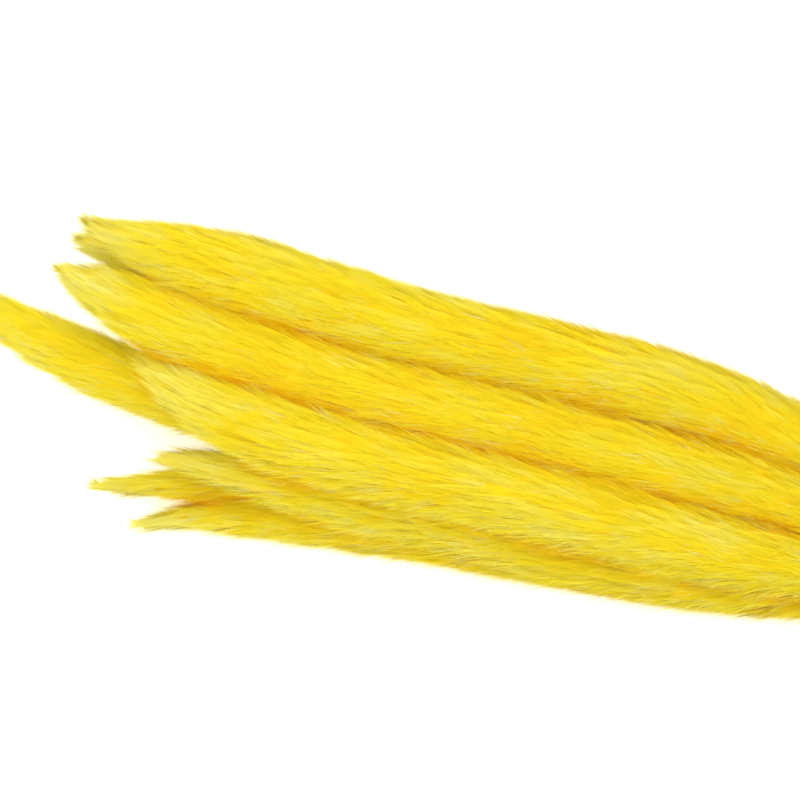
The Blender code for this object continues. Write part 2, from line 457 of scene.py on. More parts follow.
# %% Make the locks
LOCK_KINDS = 7
HAIRS_PER_LOCK = 32
HAIR_LENGTH = 0.018
HAIR_WIDTH = 0.00024
LOCK_WIDTH = 0.0038
MAP_HALF_WIDTH = 0.012  # of a hair on its UV map, so that each hair covers some area of the map
MAP_ENDS = (0.02, 0.98)  # the U of a hair's root and of its tip
ROOT_DEPTH = 0.0004  # how far under the heart's skin a lock is rooted
LOCK_TIPS = (-0.3, 0.3)  # where a lock comes to its point and where its hairs are rooted, as shares of its width
LOCK_ROOTS = (-0.5, 0.5)
ROOTS_ALONG = (-0.16, 0.10)  # how far along they are rooted and how long they are, as shares of HAIR_LENGTH
HAIR_LENGTHS = (0.50, 1.08)
STAYS_APART = (0.1, 0.6)  # the share of a hair's distance from the lock's point that is left at its own tip
RISE = 0.20  # how high a tip may rise, and how low it may sink, as shares of the hair's length
SINK = 0.02
RISE_POWER = 1.6  # hairs that rise high are the rarer, the greater this is
HAIR_WIDTHS = (0.7, 1.3)  # as shares of HAIR_WIDTH
HAIR_ROLL = 0.25  # in radians, how much hairs differ in their roll
HAIRS_DIFFER = 0.015  # how much the hairs of one lock differ in their paleness

lock_shelf = bpy.data.collections.new("lock_shelf")


def hairs_mesh(name, hairs, shelf):
    """Flat, pointed hairs, each given by its root, its tip, half its width as a vector, and how pale it is."""
    points, faces, places = [], [], []
    for start, tip, across, paler in hairs:
        first = len(points)
        points += [start - across, tip, start + across]
        faces.append((first, first + 1, first + 2))
        root, end = MAP_ENDS
        places += [(root, paler - MAP_HALF_WIDTH), (end, paler), (root, paler + MAP_HALF_WIDTH)]
    mesh = bpy.data.meshes.new(name)
    mesh.from_pydata(points, [], faces)
    layer = mesh.uv_layers.new(name="OFBake")
    for corner, place in zip(layer.data, places):
        corner.uv = place
    mesh.shade_smooth()
    shelf.objects.link(bpy.data.objects.new(name, mesh))


def lock_of_hairs(number):
    """A few hairs that lean towards +X and rise towards +Z."""
    draw = random.Random(100 + number)
    hairs = []
    lock_tip = draw.uniform(*LOCK_TIPS) * LOCK_WIDTH
    for _ in range(HAIRS_PER_LOCK):
        root_y = draw.uniform(*LOCK_ROOTS) * LOCK_WIDTH
        root_x = draw.uniform(*ROOTS_ALONG) * HAIR_LENGTH
        length = HAIR_LENGTH * draw.uniform(*HAIR_LENGTHS)
        tip_y = lock_tip + (root_y - lock_tip) * draw.uniform(*STAYS_APART)
        lift = (draw.random() ** RISE_POWER * RISE - SINK) * length
        turned = draw.gauss(0.0, HAIR_ROLL)
        across = Vector((0.0, math.cos(turned), math.sin(turned))) * HAIR_WIDTH * draw.uniform(*HAIR_WIDTHS) / 2
        start = Vector((root_x, root_y, -ROOT_DEPTH))
        tip = Vector((root_x + length, tip_y, lift))
        hairs.append((start, tip, across, draw.gauss(0.0, HAIRS_DIFFER)))
    hairs_mesh(f"lock_{number}", hairs, lock_shelf)


for number in range(LOCK_KINDS):
    lock_of_hairs(number)
print("kinds of lock:", LOCK_KINDS, "with", HAIRS_PER_LOCK, "triangles each")

# %% [markdown]
# ## The fuzz
#
# Between the locks, single hairs stand off on their own. They are pale, partly as hairs that lost their dye and
# partly as painted light: the bright haze that thin hair makes along a plume's outline, where light comes through
# it.
# A tuft of fuzz is a few such hairs that spread instead of drawing together.

# %% Make the tufts of fuzz
FUZZ_KINDS = 4
HAIRS_PER_TUFT = 8
FUZZ_LENGTH = 0.012
FUZZ_WIDTH = 0.00022
FUZZ_BED = 0.005  # how far apart the roots of one tuft may lie

fuzz_shelf = bpy.data.collections.new("fuzz_shelf")


def tuft_of_fuzz(number):
    """A few single hairs that spread from a small bed towards +X and +Z."""
    draw = random.Random(200 + number)
    hairs = []
    for _ in range(HAIRS_PER_TUFT):
        start = Vector((draw.uniform(-0.5, 0.5), draw.uniform(-0.5, 0.5), 0.0)) * FUZZ_BED
        way = Vector((1.0, draw.gauss(0.0, 0.25), draw.uniform(-0.06, 0.14)))
        tip = start + way.normalized() * FUZZ_LENGTH * draw.uniform(0.6, 1.0)
        turned = draw.uniform(-1.0, 1.0)
        across = Vector((0.0, math.cos(turned), math.sin(turned))) * FUZZ_WIDTH / 2
        hairs.append((start, tip, across, draw.gauss(0.0, 0.06)))
    hairs_mesh(f"fuzz_{number}", hairs, fuzz_shelf)


for number in range(FUZZ_KINDS):
    tuft_of_fuzz(number)
print("kinds of fuzz:", FUZZ_KINDS, "with", HAIRS_PER_TUFT, "triangles each")

# %% [markdown]
# ## The heart of a plume
#
# Under the visible hairs a plume is packed with more of them, too deep to see one by one. A plain solid heart
# stands for those: the measured plume, made a little thinner to leave room for the locks. Where plumes lie side by
# side, their soft flanks press into the hollow between them, and so the hearts bulge towards their neighbours.
#
# A heart also carries what the locks need to know, as attributes on its points: which way the plume's tip lies,
# how far off the tip and the neck are, and how deep in a hollow the point is, which sets how much painted shade
# the locks there get.

# %% Make a heart
HEART_DEPTH = 0.0019  # how far the heart lies under the measured surface
DEEPEST_SHARE = 0.45  # but no deeper than this share of the plume's half-width
HEART_RINGS = 46
HEART_SIDES = 32
END_INSET = 0.0008
TIP_INSET = 0.005  # the heart ends this far short of the measured tip, and only hairs go on from there
HEART_FLOOR = 0.0012  # the heart's underside stays this far above the table
HEART_PALENESS = 0.34
HEART_MAP = (0.3, 0.1)  # how much of the UV map a heart takes up, in U and in V
PRESSED_OUT = 0.0034  # how far a plume bulges into the hollow between it and one that it lies against
PRESSED_WIDTH = 0.65  # in radians, how wide that bulge is
PRESSED_WITHIN = 0.005  # plumes further apart than this don't press on each other
HOLLOW_SHADE_REACH = 0.0032  # the painted shade in a hollow fades within about this distance from the neighbour
FREE_TIP = 0.060  # plumes press on each other less and less over this length towards their tips
FILLS_NEIGHBOUR = 0.35  # a bulge reaches no deeper into its neighbour than this share of its half-width

plume_lines = {}
for reed in reeds:
    low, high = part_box(reed + "_plume")
    plume_lines[reed] = slices(reed + "_plume", np.linspace(low[0] + TIP_INSET, high[0] - END_INSET, HEART_RINGS))


def neighbours(reed, spots):
    """Every other plume's middle and half-width beside some points, and where it runs past them."""
    x = spots[:, 0]
    for other, (line, widths) in plume_lines.items():
        if other != reed:
            passes = (x > line[0, 0]) & (x < line[-1, 0])
            yield read_along(line, line[:, 1:], x), np.interp(x, line[:, 0], widths), passes


def pressed(reed, spots):
    """How each point of a heart moves, as soft plumes side by side fill the hollow between them."""
    line, widths = plume_lines[reed]
    own_middle = read_along(line, line[:, 1:], spots[:, 0])
    own_width = np.interp(spots[:, 0], line[:, 0], widths)
    way_out = spots[:, 1:] - own_middle
    angle = np.arctan2(way_out[:, 1], way_out[:, 0])
    bulge = np.zeros(len(spots))
    for middle, width, passes in neighbours(reed, spots):
        beside = middle - own_middle
        gap = np.hypot(*beside.T) - own_width - width
        close = np.clip(1.0 - gap / PRESSED_WITHIN, 0.0, 1.0) * passes
        most = np.minimum(PRESSED_OUT, HEART_DEPTH + FILLS_NEIGHBOUR * width)
        off = np.arctan2(beside[:, 1], beside[:, 0]) - angle
        off = (off + math.pi) % math.tau - math.pi
        bulge = np.maximum(bulge, most * close * np.exp(-((off / PRESSED_WIDTH) ** 2)))
    bulge *= np.clip((spots[:, 0] - line[0, 0]) / FREE_TIP, 0.0, 1.0)
    return way_out / np.maximum(np.hypot(*way_out.T), 1e-6)[:, None] * bulge[:, None]


def room_beside(reed, spots):
    """How far each point of a heart is from the nearest other plume."""
    room = np.full(len(spots), 1.0)
    for middle, width, passes in neighbours(reed, spots):
        away = np.hypot(*(spots[:, 1:] - middle).T) - width
        room = np.where(passes, np.minimum(room, away), room)
    return np.maximum(room, 0.0)


def mark(mesh, name, values, kind="FLOAT", domain="POINT"):
    """Writes an attribute on a mesh."""
    layer = mesh.attributes.new(name, kind, domain)
    layer.data.foreach_set("vector" if kind == "FLOAT_VECTOR" else "value", np.ravel(values))


def heart_of(reed):
    """The inner body of a reed's plume, with the attributes that the locks are laid by."""
    node = reed + "_plume"
    low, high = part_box(node)
    line, widths = plume_lines[reed]
    radii = widths - np.minimum(HEART_DEPTH, widths * DEEPEST_SHARE)
    mesh = sweep(node + "_heart", line, radii, HEART_SIDES)
    spots = points_of(mesh)
    spots[:, 1:] += pressed(reed, spots)
    spots[:, 2] = np.maximum(spots[:, 2], HEART_FLOOR)
    mesh.vertices.foreach_set("co", spots.ravel())
    mark(mesh, "tipward", read_along(line, -along_line(line), spots[:, 0]), "FLOAT_VECTOR")
    mark(mesh, "from_tip", spots[:, 0] - low[0])
    mark(mesh, "to_neck", high[0] - spots[:, 0])
    # how close each point lies to another plume, which sets the painted shade in the hollow between them
    mark(mesh, "in_hollow", np.exp(-room_beside(reed, spots) / HOLLOW_SHADE_REACH))
    mark(mesh, "is_heart", np.full(len(mesh.polygons), True), "BOOLEAN", "FACE")
    hair_map = mesh.uv_layers[0]
    hair_map.name = "OFBake"
    for corner in hair_map.data:
        corner.uv = (MAP_ENDS[0] + HEART_MAP[0] * corner.uv.x, HEART_PALENESS + HEART_MAP[1] * corner.uv.y)
    return in_scene(node, mesh)


nearest = [room_beside(reed, sides[0]).min() * 1000 for reed, sides in plume_lines.items()]
print("from each plume's middle to its nearest neighbour in mm:", np.round(nearest, 1))

# %% [markdown]
# ## Laying the locks
#
# Geometry Nodes lay the locks on a heart. Points are scattered over it, and each one becomes a lock that points
# at the plume's tip and stands a little off the surface: more on the plume's sides than on its top, where hairs
# lie down. Cells of noise gather the locks into wisps, and slow noise turns neighbouring wisps the same way, which
# makes the combed, slightly ruffled streaks of real plumes. Near the tip the locks get shorter, so that the plume
# still ends in a point, and whatever would go through the table is laid flat on it. The fuzz is planted in the
# same way. It stands off further, and grows mostly on the sides, where it softens the outline.
#
# How pale each lock is gets stored on its point before the copies are made, and is added to its UV map after. The
# point's way out of the plume is stored too, and becomes the hairs' normal, leaned upwards. Without that,
# thousands of flat triangles would each catch the light in their own way. With it, they shade as one soft body.

# %% The lock-laying tree
TABLE_GAP = 0.0003
TIP_OVERHANG = 0.0045  # how far the last hairs reach beyond the measured tip
NECK_THINNING = 0.050  # the hairs thin out over this length where the plume meets its stalk
NECK_SHARE = 0.30  # down to this share of their number
WISP_SQUEEZE = 0.35  # a wisp is this many times as wide as it is long
STREAKS_PER_METRE = 70.0
LOCK_LIFTS = (1.6, 0.85)  # on a plume's sides and on its top, where the hairs lie down under their own weight
FUZZ_LIFTS = (1.4, 0.8)
FUZZ_SHARES = (1.9, 0.15)  # how thickly the fuzz grows on the sides and on the top
EVENS_LIGHT = 0.6  # how far the hairs' shading normals lean up, as light that scatters among hairs evens them out
TIP_PALE_DYE_AND_LIGHT = 0.20  # how much lighter a plume's tip is: partly paler dye, partly painted light that lifts the shade on tips lying under other plumes
LIGHTER_LENGTH = 0.060
HOLLOW_PAINTED_SHADE = 0.42  # painted shade: how much lower on the ramp, darker and more orange, the locks are read at the bottom of the hollow between two plumes
PALENESS_DRIFT = 0.3  # how much the slow noise changes the dye
SLOPES = (0.3, 0.9)  # how far up the side and the top of a plume face, as the Z of the way out
LOCK_PALENESS = (0.46, 0.51)
LOCK_TURNS = (-0.10, 0.10)
WISP_LENGTHS = (0.80, 1.15)  # as shares of the hair's length
LOCK_LENGTHS = (0.85, 1.12)
LOCK_WIDTHS = (0.75, 1.2)
# how pale the fuzz is: partly bleached hair, partly painted light for the bright haze along outlines
FUZZ_PALENESS = (0.58, 0.80)
FUZZ_TURNS = (-0.25, 0.25)
FUZZ_RISES = (0.10, 0.38)
FUZZ_SIZES = (0.8, 1.1)
DRIFT_LIFT = 0.35  # how much the slow noise lifts and turns the locks, as shares of the ruffle
DRIFT_TURN = 2.0
WISP_LIFT = 0.2  # and how much wisps differ in their lift
STRAY_POWER = 7.0  # strays are the rarer, the greater this is
STRAY_LIFT = 0.10
# stray locks are paler too, partly as bleached hair and partly as painted light for the bright haze along outlines
STRAY_PALER = 0.12
TIP_GATHERING = (1.3, 0.030)  # wisps draw together this much more at a plume's tip, and less over this length
LOWEST_SPREAD = 0.0006  # the hairs that lie on the table lie at slightly different heights


def lock_laying_tree():
    """The tree that plants locks and fuzz on a heart."""
    tree, given = new_tree("lay_locks_on_plume", "Heart", (
        ("Locks per square metre", 100000.0),
        ("Tufts per square metre", 10000.0),
        ("Hair length", HAIR_LENGTH),
        ("Lift", 0.095),
        ("Ruffle", 0.18),
        ("Wisp width", 0.006),
        ("Gathering", 0.25),
        ("Seed", 0),
    ), "Plume")

    def chance(number, low, high):
        """A random number for each point."""
        seed = plus(tree, given["Seed"], float(number))
        made = add_node(tree, "FunctionNodeRandomValue", {"Min": low, "Max": high, "Seed": seed})
        return made.outputs["Value"]

    def ranged(value, start, end, at_start, at_end):
        """A number that goes from one value to another as the given value goes from start to end."""
        return add(tree, "ShaderNodeMapRange", {0: value, 1: start, 2: end, 3: at_start, 4: at_end})

    def by_slope(out, on_sides, on_top):
        """A number that goes from one value on a plume's sides to another on its top."""
        return ranged(parts(tree, out)["Z"], *SLOPES, on_sides, on_top)

    from_tip = named(tree, "from_tip")
    thickness = ranged(named(tree, "to_neck"), 0.0, NECK_THINNING, NECK_SHARE, 1.0)

    def scattered(density, seed):
        """Points on the heart, with the ways out of it, along it to the plume's tip, and across it."""
        spread = add_node(tree, "GeometryNodeDistributePointsOnFaces", {
            "Mesh": given["Heart"], "Density": times(tree, density, thickness), "Seed": seed})
        out = spread.outputs["Normal"]
        tipward = named(tree, "tipward", "FLOAT_VECTOR")
        off_surface = scaled(tree, out, dot(tree, tipward, out))
        combed = vector_maths(tree, "NORMALIZE", vector_maths(tree, "SUBTRACT", tipward, off_surface))
        return spread.outputs["Points"], out, combed, vector_maths(tree, "CROSS_PRODUCT", out, combed)

    def planted(points, out, heading, size, paleness, shelf, kinds):
        """A copy of something from the shelf on each point, as real geometry that knows its paleness."""
        pointed = add(tree, "FunctionNodeAlignRotationToVector", {"Vector": heading}, axis="X")
        rolled = add(tree, "FunctionNodeAlignRotationToVector", {"Rotation": pointed, "Vector": out},
                     axis="Z", pivot_axis="X")
        upward = vector_maths(tree, "NORMALIZE", vector_maths(tree, "ADD", out, (0.0, 0.0, EVENS_LIGHT)))
        faced = stored(tree, stored(tree, points, "paleness", paleness), "outward", upward, "FLOAT_VECTOR")
        pieces = add(tree, "GeometryNodeCollectionInfo",
                     {"Collection": shelf, "Separate Children": True, "Reset Children": True})
        kind = add_node(tree, "FunctionNodeRandomValue", {4: 0, 5: kinds - 1}, data_type="INT").outputs[2]
        copies = add(tree, "GeometryNodeInstanceOnPoints", {
            "Points": faced, "Instance": pieces, "Pick Instance": True, "Instance Index": kind,
            "Rotation": rolled, "Scale": size,
        })
        return add(tree, "GeometryNodeRealizeInstances", {0: copies})

    points, outward, combed, sideways = scattered(given["Locks per square metre"], given["Seed"])

    # Cells a few millimetres wide, longer than that along the plume. The hairs of one cell are one wisp.
    spot = add(tree, "GeometryNodeInputPosition")
    shift = combined(tree, 0.0, 0.0, given["Seed"])
    squeezed = vector_maths(tree, "ADD", vector_maths(tree, "MULTIPLY", spot, (WISP_SQUEEZE, 1.0, 1.0)), shift)
    wisp_scale = maths(tree, "DIVIDE", 1.0, given["Wisp width"])
    wisp = add_node(tree, "ShaderNodeTexVoronoi", {"Vector": squeezed, "Scale": wisp_scale})
    wisp_parts = parts(tree, wisp.outputs["Color"])
    to_middle = vector_maths(tree, "SUBTRACT", wisp.outputs["Position"], squeezed)
    gather = maths(tree, "DIVIDE", dot(tree, to_middle, sideways), given["Hair length"])
    near_tip = ranged(from_tip, 0.0, TIP_GATHERING[1], TIP_GATHERING[0], 1.0)
    gather = times(tree, gather, given["Gathering"], near_tip)

    # Slow noise that wisps share with their neighbours.
    drift = add_node(tree, "ShaderNodeTexNoise", {"Vector": squeezed, "Scale": STREAKS_PER_METRE, "Detail": 1.0})
    drift_parts = parts(tree, drift.outputs["Color"])

    def swing(part, strength):
        """A number from 0 to 1, brought round zero and made as strong as the ruffle times a factor."""
        return times(tree, minus(tree, part, 0.5), given["Ruffle"], strength)

    stray = maths(tree, "POWER", chance(1, 0.0, 1.0), STRAY_POWER)
    lift = plus(tree, given["Lift"], swing(drift_parts["X"], DRIFT_LIFT), swing(wisp_parts["X"], WISP_LIFT))
    lift = plus(tree, times(tree, lift, by_slope(outward, *LOCK_LIFTS)), times(tree, stray, STRAY_LIFT))
    turn = plus(tree, swing(drift_parts["Y"], DRIFT_TURN), chance(2, *LOCK_TURNS), gather)
    heading = steered(tree, combed, (outward, lift), (sideways, turn))
    reach = maths(tree, "DIVIDE", plus(tree, from_tip, TIP_OVERHANG), given["Hair length"])
    reach = maths(tree, "MINIMUM", reach, 1.0)
    wisp_length = ranged(wisp_parts["Y"], 0.0, 1.0, *WISP_LENGTHS)
    length = times(tree, reach, wisp_length, chance(3, *LOCK_LENGTHS))
    width = times(tree, maths(tree, "POWER", reach, 0.6), chance(4, *LOCK_WIDTHS))
    size = combined(tree, length, width, length)

    drifting = times(tree, minus(tree, drift_parts["Z"], 0.5), PALENESS_DRIFT)
    # Painted shade: locks in the hollow between two plumes are read lower on the ramp, darker and more orange.
    drifting = minus(tree, drifting, times(tree, named(tree, "in_hollow"), HOLLOW_PAINTED_SHADE))
    # The last term lightens a plume's tip: partly paler dye, partly painted light on tips shaded by other plumes.
    paleness = plus(tree, chance(5, *LOCK_PALENESS), drifting, times(tree, stray, STRAY_PALER),
                    ranged(from_tip, 0.0, LIGHTER_LENGTH, TIP_PALE_DYE_AND_LIGHT, 0.0))
    locks = planted(points, outward, heading, size, paleness, lock_shelf, LOCK_KINDS)

    # The fuzz stands off more than the locks do, and lies less tidily.
    facing = add(tree, "GeometryNodeInputNormal")
    thicker_aside = times(tree, given["Tufts per square metre"], by_slope(facing, *FUZZ_SHARES))
    points, out, along, across = scattered(thicker_aside, plus(tree, given["Seed"], 50.0))
    lift = times(tree, chance(7, *FUZZ_RISES), by_slope(out, *FUZZ_LIFTS))
    heading = steered(tree, along, (out, lift), (across, chance(8, *FUZZ_TURNS)))
    size = times(tree, reach, chance(9, *FUZZ_SIZES))
    fuzz = planted(points, out, heading, size, chance(10, *FUZZ_PALENESS), fuzz_shelf, FUZZ_KINDS)

    hair_map = parts(tree, named(tree, "OFBake", "FLOAT_VECTOR"))
    height = plus(tree, hair_map["Y"], named(tree, "paleness"))
    height = add(tree, "ShaderNodeClamp", {0: height, 1: MAP_ENDS[0], 2: MAP_ENDS[1]})
    new_map = combined(tree, hair_map["X"], height, 0.0)
    mapped = stored(tree, joined(tree, locks, fuzz), "OFBake", new_map, "FLOAT2", "CORNER")

    place = parts(tree, spot)
    lowest = plus(tree, chance(6, 0.0, LOWEST_SPREAD), TABLE_GAP)
    above = combined(tree, place["X"], place["Y"], maths(tree, "MAXIMUM", place["Z"], lowest))
    laid = add(tree, "GeometryNodeSetPosition", {"Geometry": mapped, "Position": above})
    normals = named(tree, "outward", "FLOAT_VECTOR")
    soft = add(tree, "GeometryNodeSetMeshNormal", {"Mesh": laid, "Custom Normal": normals},
               mode="FREE", domain="POINT")

    plume = joined(tree, given["Heart"], soft)
    haired = add(tree, "GeometryNodeSetMaterial", {"Geometry": plume, "Material": dyed_hair})
    finished = add(tree, "GeometryNodeSetMaterial", {
        "Geometry": haired, "Selection": named(tree, "is_heart", "BOOLEAN"), "Material": packed_hair})
    add_node(tree, "NodeGroupOutput", {"Plume": finished})
    return tree


lock_tree = lock_laying_tree()
print("nodes in the tree:", len(lock_tree.nodes))

# %% [markdown]
# ## Ten plumes
#
# Each heart gets the tree as a modifier. Its inputs are set before Blender looks at the object, and then the
# finished plume is taken off as a plain mesh, which needs the modifier no more.

# %% Grow the plumes
LOCKS_PER_SQUARE_METRE = 102000.0
TUFTS_PER_SQUARE_METRE = 66000.0
SCRATCH_ATTRIBUTES = (  # those that only the trees read
    "tipward", "from_tip", "to_neck", "in_hollow", "is_heart", "paleness", "outward", "walked", "around")


def run_tree(made, tree, values):
    """Runs a tree on an object and keeps what comes out as the object's own plain mesh."""
    layer = made.modifiers.new(tree.name, "NODES")
    layer.node_group = tree
    for socket in tree.interface.items_tree:
        if socket.in_out == "INPUT" and socket.name in values:
            layer[socket.identifier] = values[socket.name]
    mesh = bpy.data.meshes.new_from_object(made.evaluated_get(bpy.context.evaluated_depsgraph_get()))
    made.modifiers.remove(layer)
    for name in SCRATCH_ATTRIBUTES:
        if name in mesh.attributes:
            mesh.attributes.remove(mesh.attributes[name])
    mesh.name = made.name
    made.data = mesh


def triangles_in(made):
    """How many triangles a piece has."""
    return sum(len(face.vertices) - 2 for face in made.data.polygons)


total = 0
for seed, reed in enumerate(reeds, start=1):
    plume = heart_of(reed)
    run_tree(plume, lock_tree, {"Locks per square metre": LOCKS_PER_SQUARE_METRE,
                                "Tufts per square metre": TUFTS_PER_SQUARE_METRE, "Seed": seed})
    plume.name = plume.data.name = reed + "_plume_hairs"
    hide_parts(reed + "_plume")
    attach(plume, "root")
    count = triangles_in(plume)
    total += count
    print(plume.name, count, "triangles")
print("all plumes:", total)

# %% [markdown]
# ## The straw of the stalks
#
# A reed's stalk is a straw with a skin as glossy as varnished wood. The dye tints it ochre, unevenly, in streaks
# that run along it, and its joints stay brown. Where it is cut, the pale pith inside shows. No two stalks took the
# dye alike, so each one carries a tone of its own, as an attribute, which darkens it and shifts its streaks.
#
# The streaks have to follow a stalk's bends, so they are read from its UV map. Noise would break along the seam
# of the map, where V jumps from one to zero. So V is first turned into a point on a circle, which has no seam.

# %% The stalk material
BUMP_HEIGHT = 0.0002
TONE_SHIFT = 40.0  # how far a stalk's tone shifts its streaks
TONE_DARKENS = 0.45


def round_the_seam(tree, along_scale, around_scale, shift=0.0):
    """A place for noise that follows a swept piece's UV map and closes round it."""
    place = map_place(tree, "UVMap")
    angle = times(tree, place["Y"], math.tau)
    along = plus(tree, times(tree, place["X"], along_scale), shift)
    return combined(tree, along, times(tree, maths(tree, "COSINE", angle), around_scale),
                    times(tree, maths(tree, "SINE", angle), around_scale))


def blend(tree, factor, first, second):
    """The second colour laid over the first one. A Mix node's colours are its sockets 6 and 7, and the result 2."""
    return add_node(tree, "ShaderNodeMix", {0: factor, 6: first, 7: (*second, 1.0)}, data_type="RGBA").outputs[2]


def noise(tree, place, scale, detail):
    """Cloudy noise, as a number."""
    return add_node(tree, "ShaderNodeTexNoise", {"Vector": place, "Scale": scale, "Detail": detail}).outputs["Fac"]


def bumped(tree, shader, height, strength):
    """Gives a surface the finest ridges, too fine to model."""
    bump = add(tree, "ShaderNodeBump", {"Height": height, "Strength": strength, "Distance": BUMP_HEIGHT})
    tree.links.new(bump, shader.inputs["Normal"])


def stalk_material():
    """Glossy straw, unevenly dyed."""
    made, tree, shader = new_material("dyed_straw")
    tone = add_node(tree, "ShaderNodeAttribute", attribute_name="tone").outputs["Fac"]
    shift = times(tree, tone, TONE_SHIFT)
    streaks = noise(tree, round_the_seam(tree, 7.0, 2.6, shift), 2.2, 4.0)
    patches = noise(tree, round_the_seam(tree, 9.0, 0.5, shift), 1.3, 2.0)
    tint = ramp(tree, streaks, (
        (0.30, (0.34, 0.18, 0.025)),
        (0.45, (0.62, 0.40, 0.045)),
        (0.58, (0.78, 0.57, 0.085)),
        (0.75, (0.86, 0.71, 0.240)),
    ))
    bare = ramp(tree, patches, ((0.50, (0.0, 0.0, 0.0)), (0.72, (0.55, 0.55, 0.55))))
    tint = blend(tree, bare, tint, (0.56, 0.50, 0.14))
    tint = blend(tree, times(tree, tone, TONE_DARKENS), tint, (0.50, 0.36, 0.07))
    for place, colour in (("joint", (0.26, 0.13, 0.03)), ("pith", (0.86, 0.76, 0.50))):
        tint = blend(tree, add_node(tree, "ShaderNodeAttribute", attribute_name=place).outputs["Fac"], tint, colour)
    tree.links.new(tint, shader.inputs["Base Color"])
    gloss = ramp(tree, streaks, ((0.35, (0.62, 0.62, 0.62)), (0.65, (0.36, 0.36, 0.36))))
    tree.links.new(gloss, shader.inputs["Roughness"])
    ridges = noise(tree, round_the_seam(tree, 1.5, 7.0), 2.0, 2.0)
    bumped(tree, shader, ridges, 0.35)
    return made


dyed_straw = stalk_material()
print("the stalks' finish:", dyed_straw.name)

# %% [markdown]
# ## The stalks
#
# Each stalk is swept along its reed, starting a little inside the plume. Its radius swells at the joints, which
# the measured piece shows as rings wider than the rest. At the cut end the sweep turns back on itself, narrower,
# and runs a short way inside, which leaves a hollow straw with a real wall.

# %% Find the joints and smooth the line
FINE_STEP = 0.0005
RING_SHARE = 1.10  # a slice this many times as wide as the middling one belongs to a joint


def joints_of(node):
    """The X of each joint on a measured stalk."""
    low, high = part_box(node)
    places = np.arange(low[0] + FINE_STEP, high[0] - FINE_STEP, FINE_STEP)
    widths = slices(node, places)[1]
    wide = places[widths > RING_SHARE * np.median(widths)]
    groups = np.split(wide, np.nonzero(np.diff(wide) > 4 * FINE_STEP)[0] + 1)
    return [group.mean() for group in groups if len(group)]


def smooth_line(points, spacing):
    """A smooth line through the points, with a point about every so often."""
    points = np.asarray(points, float)
    ways = np.gradient(points, axis=0)
    made = []
    for start, end, out, come in zip(points[:-1], points[1:], ways[:-1], ways[1:]):
        count = max(1, round(np.linalg.norm(end - start) / spacing))
        for t in np.arange(count) / count:
            hold, leave = 2 * t**3 - 3 * t**2 + 1, t**3 - 2 * t**2 + t
            reach, arrive = 3 * t**2 - 2 * t**3, t**3 - t**2
            made.append(hold * start + leave * out + reach * end + arrive * come)
    return np.array([*made, points[-1]])


print("joints on reed_01's stalk at X =", [round(x, 3) for x in joints_of("reed_01_stem")])

# %% Make the stalks
STALK_SIDES = 18
HIDDEN_START = 0.030  # how far inside its plume a stalk starts
STALK_SLICES = 16  # cuts across the measured stalk, between insets from its neck and from its cut end
STALK_INSETS = (0.001, 0.0001)
LINE_STEP = 0.002
STALK_STEP = 0.005
JOINT_SWELL = 0.20  # shares of the stalk's radius, as are GROOVE_DEPTH and BORE_SHARE
JOINT_BROWN = 0.85
JOINT_HALF_LENGTH = 0.0014
BROWN_HALF_LENGTH = 0.9 * JOINT_HALF_LENGTH
GROOVE_DEPTH = 0.07
GROOVE_OFFSET = 0.0026
GROOVE_HALF_LENGTH = 0.0006
BORE_SHARE = 0.66
BORE_DEPTH = 0.008
RIM_ROUND = 0.0002
JOINT_OFFSETS = np.array((-4.5, -3.2, -2.6, -2.0, -1.4, -0.7, 0.0, 0.7, 1.4, 2.0, 2.6, 3.2, 4.5)) / 1000


def stalk_line(reed):
    """Points along a reed from inside its plume to its cut end."""
    low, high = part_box(reed + "_plume")
    inside = slices(reed + "_plume", (high[0] - HIDDEN_START, high[0] - HIDDEN_START / 2))[0]
    low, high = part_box(reed + "_stem")
    places = np.linspace(low[0] + STALK_INSETS[0], high[0] - STALK_INSETS[1], STALK_SLICES)
    outside, widths = slices(reed + "_stem", places)
    return smooth_line(np.concatenate([inside, outside]), LINE_STEP), np.median(widths)


